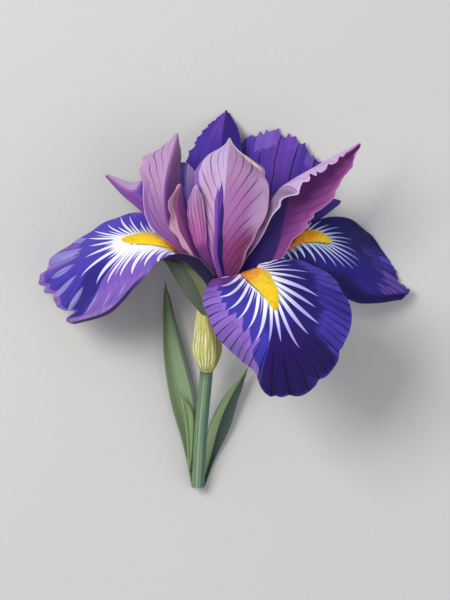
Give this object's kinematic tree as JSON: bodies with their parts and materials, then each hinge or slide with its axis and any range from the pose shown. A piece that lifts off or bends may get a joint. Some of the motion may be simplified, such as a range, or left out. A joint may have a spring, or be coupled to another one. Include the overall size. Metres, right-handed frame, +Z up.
{
  "type": "bearded iris flower",
  "caption": "Bearded iris on a short cut stem with leaves: hanging violet petals with yellow beards, upright lilac petals, laid on its back.",
  "frame": {"origin": "on the surface that the flower lies on, under the middle of its bounding box", "axes": "+Z up, away from the surface; +Y from the cut end of the stem to the tips of the upright petals; +X to the flower's right as it is looked at from above"},
  "size_m": [0.1647, 0.1684, 0.0806],
  "materials": {
    "stem": "satin, faintly ribbed plant stem",
    "leaf": "satin waxy leaf with parallel veins",
    "sheath": "matt pleated sheath leaf",
    "fall": "velvety petal with white rays and dark veins",
    "standard": "soft matt petal with dark veins",
    "rear_petal": "soft matt petal with dark veins",
    "style": "soft matt petal with dark stripes",
    "beard": "dense short soft hairs",
    "anther": "matt, powdery"
  },
  "bodies": {
    "root": {"stem": "stem", "spathe": "sheath", "floral_tube": "sheath", "bract": "leaf", "leaf_left": "leaf", "leaf_left_small": "leaf", "leaf_right": "leaf", "fall_front": "fall", "fall_left": "fall", "fall_right": "fall", "beard_front": "beard", "beard_left": "beard", "beard_right": "beard", "standard_centre": "standard", "standard_left": "standard", "standard_right": "standard", "rear_petal_left": "rear_petal", "rear_petal_right": "rear_petal", "side_petal_left": "standard", "side_petal_right": "rear_petal", "style_striped": "style", "style_curled": "style", "style_rear": "style", "stamen_left": "anther", "stamen_centre": "anther", "stamen_right": "anther"}
  },
  "joints": []
}
